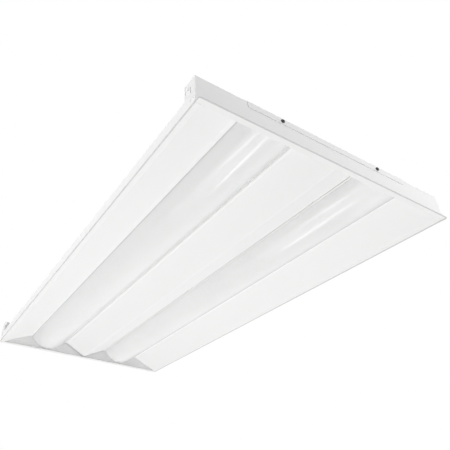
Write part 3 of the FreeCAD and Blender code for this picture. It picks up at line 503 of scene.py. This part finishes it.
# plated and tempered steel: zinc crystals or rolling grain, dull patches, scratches
platings = {
    "zinc_steel": {
        "color": (0.62, 0.63, 0.645), "tarnish": (0.47, 0.47, 0.46), "rough": 0.34, "grain": 0.5,
        "depth": 0.006, "spangle": 5.0, "contrast": 0.14, "metal": 0.92},
    "spring_steel": {
        "color": (0.36, 0.375, 0.41), "tarnish": (0.24, 0.24, 0.26), "rough": 0.3, "grain": 0.3,
        "depth": 0.005, "spangle": 1.5, "contrast": 0.06, "metal": 1.0},
    "green_screw": {
        "color": (0.06, 0.3, 0.11), "tarnish": (0.05, 0.2, 0.1), "rough": 0.32, "grain": 0.4,
        "depth": 0.004, "spangle": 1.2, "contrast": 0.1, "metal": 0.75},
    "dark_screw": {
        "color": (0.045, 0.045, 0.05), "tarnish": (0.09, 0.085, 0.08), "rough": 0.42, "grain": 0.4,
        "depth": 0.006, "spangle": 1.0, "contrast": 0.1, "metal": 0.6},
}
platingWear = {"smoother": 0.05, "rougher": 0.07, "grainStretch": (1.0, 0.12, 1.0),
               "tarnish": 0.6, "tarnishSize": 40.0, "tarnishedRougher": 0.22,
               "scratches": 0.7, "scratchStretch": (600.0, 14.0, 600.0), "scratchedRougher": 0.15}


def platedMaterial(name, look, wear):
    material, tree, shader = newMaterial(name)
    cells = useGroup(tree, "spangle", Size=look["spangle"])["Value"]
    stain = useGroup(tree, "stain", Size=wear["tarnishSize"], Amount=wear["tarnish"])["Mask"]
    lines = useGroup(tree, "scratches", Amount=wear["scratches"], Stretch=wear["scratchStretch"])["Mask"]
    relief = useGroup(tree, "relief", Size=look["grain"], Depth=look["depth"], Stretch=wear["grainStretch"])
    darker = tuple(value * (1.0 - look["contrast"]) for value in look["color"])
    color = mixColor(tree, cells, look["color"], darker)
    join(tree, mixColor(tree, stain, color, look["tarnish"]), shader.inputs["Base Color"])
    smooth, coarse = look["rough"] - wear["smoother"], look["rough"] + wear["rougher"]
    rough = mixValue(tree, cells, smooth, coarse)
    rough = mixValue(tree, stain, rough, look["rough"] + wear["tarnishedRougher"])
    rough = mixValue(tree, lines, rough, look["rough"] + wear["scratchedRougher"])
    join(tree, rough, shader.inputs["Roughness"])
    join(tree, relief["Normal"], shader.inputs["Normal"])
    shader.inputs["Metallic"].default_value = look["metal"]
    return material


# moulded parts, boards, tape and rubber
leadJacket = {"grain": 0.5, "depth": 0.012, "stretch": (1.0, 0.2, 1.0), "size": 30.0, "level": 0.4}
mouldings = {
    "plug_white": {
        "color": (0.8, 0.79, 0.74), "shade": (0.7, 0.68, 0.62), "rough": 0.45, "grain": 0.25,
        "depth": 0.012, "stretch": (1.0, 1.0, 1.0), "size": 12.0, "level": 0.5},
    "board_white": {
        "color": (0.83, 0.84, 0.83), "shade": (0.74, 0.75, 0.72), "rough": 0.33, "grain": 0.6,
        "depth": 0.01, "stretch": (1.0, 0.06, 1.0), "size": 9.0, "level": 0.5},
    "circuit_green": {
        "color": (0.035, 0.2, 0.075), "shade": (0.06, 0.3, 0.12), "rough": 0.32, "grain": 0.8,
        "depth": 0.02, "stretch": (1.0, 0.2, 1.0), "size": 5.0, "level": 0.5},
    "winding_tape": {
        "color": (0.72, 0.52, 0.08), "shade": (0.55, 0.38, 0.05), "rough": 0.28, "grain": 1.2,
        "depth": 0.04, "stretch": (0.3, 1.0, 1.0), "size": 8.0, "level": 0.6},
    "capacitor_sleeve": {
        "color": (0.03, 0.032, 0.045), "shade": (0.06, 0.06, 0.075), "rough": 0.26, "grain": 1.5,
        "depth": 0.01, "stretch": (1.0, 0.3, 1.0), "size": 9.0, "level": 0.5},
    "lead_black": {
        "color": (0.022, 0.022, 0.024), "shade": (0.05, 0.05, 0.052), "rough": 0.4, **leadJacket},
    "lead_grey": {
        "color": (0.38, 0.385, 0.395), "shade": (0.3, 0.3, 0.31), "rough": 0.42, **leadJacket},
    "lead_green": {
        "color": (0.03, 0.24, 0.08), "shade": (0.02, 0.17, 0.06), "rough": 0.4, **leadJacket},
    "grommet_rubber": {
        "color": (0.025, 0.025, 0.026), "shade": (0.07, 0.068, 0.065), "rough": 0.7, "grain": 0.35,
        "depth": 0.03, "stretch": (1.0, 1.0, 1.0), "size": 6.0, "level": 0.3},
}
mouldingWear = {"smoother": 0.06, "rougher": 0.08, "patches": 0.9, "dust": 0.25}


def mouldedMaterial(name, look, wear):
    material, tree, shader = newMaterial(name)
    stain = useGroup(tree, "stain", Size=look["size"], Amount=wear["patches"])["Mask"]
    dust = useGroup(tree, "dust", Amount=wear["dust"])["Mask"]
    relief = useGroup(tree, "relief", Size=look["grain"], Depth=look["depth"], Stretch=look["stretch"])
    color = mixColor(tree, stain, look["color"], look["shade"])
    join(tree, mixColor(tree, dust, color, dustLook["color"]), shader.inputs["Base Color"])
    smooth, coarse = look["rough"] - wear["smoother"], look["rough"] + wear["rougher"]
    rough = mixValue(tree, relief["Height"], smooth, coarse)
    join(tree, mixValue(tree, dust, rough, dustLook["rough"]), shader.inputs["Roughness"])
    join(tree, relief["Normal"], shader.inputs["Normal"])
    shader.inputs["Specular IOR Level"].default_value = look["level"]
    return material


# opal acrylic: smooth gloss with faint drawing lines along the sheet and a cloudy body, with painted shade
# by its lips and soft painted shade towards its right side
opal = {
    "color": (0.84, 0.84, 0.84), "rough": 0.17, "ior": 1.49, "level": 0.5,
    "cloud": (0.79, 0.79, 0.79), "cloudSize": 90.0, "cloudAmount": 0.8,
    "haze": 0.3,  # roughness of the cloudy and the wiped places
    "wiped": 0.5, "wipeStretch": (40.0, 3.0, 40.0),
    "lineSize": 3.0, "lineDepth": 0.006, "lineStretch": (1.0, 0.015, 1.0),
    "scatter": 0.12, "scatterDepth": 0.004, "scatterReach": (1.0, 0.95, 0.9),
    # painted shade lines by the lips and soft painted shades towards the right side
    "grooveShades": ("grooveShadeOuter", "grooveShadeInner"), "shades": ("shadeInner", "shadeOuter"),
    "dull": 0.08,  # specular level where the shades are full
}


def opalMaterial(name, look):
    material, tree, shader = newMaterial(name)
    cloud = useGroup(tree, "stain", Size=look["cloudSize"], Amount=look["cloudAmount"])["Mask"]
    wiped = useGroup(tree, "scratches", Amount=look["wiped"], Stretch=look["wipeStretch"])["Mask"]
    relief = useGroup(tree, "relief", Size=look["lineSize"], Depth=look["lineDepth"],
                      Stretch=look["lineStretch"])
    # the cloudy body, then the painted shade lines and the soft painted shades laid over it
    color = withPaintedShade(tree, mixColor(tree, cloud, look["color"], look["cloud"]), look["grooveShades"])
    join(tree, withPaintedShade(tree, color, look["shades"]), shader.inputs["Base Color"])
    # the specular level drops where the painted shades lie, so they read darker still
    full = paintedShadeLines["shadeInner"]["Amount"]
    shades = [useGroup(tree, "paintedShadeBand", **paintedShadeLines[line])["Mask"] for line in look["shades"]]
    dull = ranged(tree, mathNode(tree, "ADD", *shades), 0.0, full)
    join(tree, mixValue(tree, dull, look["level"], look["dull"]), shader.inputs["Specular IOR Level"])
    rough = mixValue(tree, cloud, look["rough"], look["haze"])
    join(tree, mixValue(tree, wiped, rough, look["haze"]), shader.inputs["Roughness"])
    join(tree, relief["Normal"], shader.inputs["Normal"])
    shader.inputs["IOR"].default_value = look["ior"]
    shader.inputs["Subsurface Weight"].default_value = look["scatter"]
    shader.inputs["Subsurface Radius"].default_value = look["scatterReach"]
    shader.inputs["Subsurface Scale"].default_value = look["scatterDepth"]
    return material


# phosphor in clear silicone: a mottled yellow under a glossy skin
phosphor = {
    "color": (0.86, 0.66, 0.12), "rough": 0.24, "coat": 0.6,
    "grainColor": (0.74, 0.5, 0.07), "grainSize": 1.2, "grainAmount": 1.0, "grainRougher": 0.15,
    "skinSize": 0.4, "skinDepth": 0.01,
}


def phosphorMaterial(name, look):
    material, tree, shader = newMaterial(name)
    grain = useGroup(tree, "stain", Size=look["grainSize"], Amount=look["grainAmount"])["Mask"]
    relief = useGroup(tree, "relief", Size=look["skinSize"], Depth=look["skinDepth"])
    join(tree, mixColor(tree, grain, look["color"], look["grainColor"]), shader.inputs["Base Color"])
    rough = mixValue(tree, grain, look["rough"], look["rough"] + look["grainRougher"])
    join(tree, rough, shader.inputs["Roughness"])
    join(tree, relief["Normal"], shader.inputs["Normal"])
    shader.inputs["Coat Weight"].default_value = look["coat"]
    return material


finishes = {
    "opal_lens": opalMaterial("opalLens", opal),
    "led_phosphor": phosphorMaterial("ledPhosphor", phosphor),
}
tables = (
    (coatings, coatedMaterial, coatWear),
    (platings, platedMaterial, platingWear),
    (mouldings, mouldedMaterial, mouldingWear),
)
for table, build, wear in tables:
    for slotName, values in table.items():
        first, *others = slotName.split("_")
        finishes[slotName] = build(first + "".join(word.capitalize() for word in others), values, wear)
for piece in nodes.values():
    for index, material in enumerate(piece.data.materials):
        piece.data.materials[index] = finishes[material.name.split(".")[0]]
print("finishes:", len(finishes), "materials on every carried-over node")


def addPiece(name, points, faces, material, body, smoothUnder):
    mesh = bpy.data.meshes.new(name)
    mesh.from_pydata(points, [], faces)
    mesh.materials.append(material)
    mesh.shade_smooth()
    mesh.set_sharp_from_angle(angle=math.radians(smoothUnder))
    made = bpy.data.objects.new(name, mesh)
    scene.collection.objects.link(made)
    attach(made, body)
    return made


# lens: a half-round opal sheet whose two flat lips lie on the ledges
lens = {
    "wall": 2.0 * mm,
    "innerLip": 3.7 * mm,
    "outerLip": 6.0 * mm,
    "endReach": 0.6 * mm,
    "arcSteps": 96,
    "lipSteps": 3,
    "stations": 25,
    "smoothUnder": 32.0,  # degrees
}


def lensProfile(low, high, leftLip, rightLip, values):
    # the outer line runs along one lip, round the arc through the lowest point, and along the other lip;
    # the inner line is the same shape one wall further in, with as many points, so the two pair up
    start, end = low.x + leftLip, high.x - rightLip
    middle, outerHalf = (start + end) / 2, (end - start) / 2
    ledge = high.z - values["wall"]
    sag = ledge - low.z
    outerR = (outerHalf ** 2 + sag ** 2) / (2 * sag)
    centre = low.z + outerR
    innerR = outerR - values["wall"]
    outerAngle = math.asin(outerHalf / outerR)
    innerAngle = math.acos((centre - high.z) / innerR)
    lines = []
    for radius, halfAngle, level in ((outerR, outerAngle, ledge), (innerR, innerAngle, high.z)):
        angle = np.linspace(-halfAngle, halfAngle, values["arcSteps"] + 1)
        arc = np.stack([middle + radius * np.sin(angle), centre - radius * np.cos(angle)], axis=1)
        left = np.linspace((low.x, level), arc[0], values["lipSteps"], endpoint=False)
        right = np.linspace((high.x, level), arc[-1], values["lipSteps"], endpoint=False)[::-1]
        lines.append(np.concatenate([left, arc, right]))
    return lines


def sweptShell(lines, lowY, highY, stations):
    # a closed shell: the ring outer line + reversed inner line, repeated at every station along Y,
    # closed at both ends by strips between the paired points
    outer, inner = lines
    ring = np.concatenate([outer, inner[::-1]])
    count = len(ring)
    y = np.linspace(lowY, highY, stations)
    points = np.empty((stations, count, 3))
    points[:, :, 0] = ring[:, 0]
    points[:, :, 1] = y[:, None]
    points[:, :, 2] = ring[:, 1]
    ringStart = np.arange(stations - 1)[:, None] * count
    here = ringStart + np.arange(count)[None, :]
    beside = ringStart + (np.arange(count) + 1)[None, :] % count
    sides = np.stack([here, here + count, beside + count, beside], axis=-1).reshape(-1, 4)
    pair = np.arange(len(outer) - 1)
    cap = np.stack([pair, pair + 1, count - 2 - pair, count - 1 - pair], axis=1)
    lastRing = (stations - 1) * count
    return points.reshape(-1, 3), np.concatenate([sides, cap, (cap + lastRing)[:, ::-1]])


for side, lips in (("left", ("outerLip", "innerLip")), ("right", ("innerLip", "outerLip"))):
    low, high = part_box("diffuser_" + side)
    profile = lensProfile(low, high, lens[lips[0]], lens[lips[1]], lens)
    reach = lens["endReach"]
    points, faces = sweptShell(profile, low.y - reach, high.y + reach, lens["stations"])
    piece = addPiece("lens_" + side, points, faces.tolist(), finishes["opal_lens"], "housing",
                     lens["smoothUnder"])
    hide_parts("diffuser_" + side)
print("lenses: 2 half-round shells")
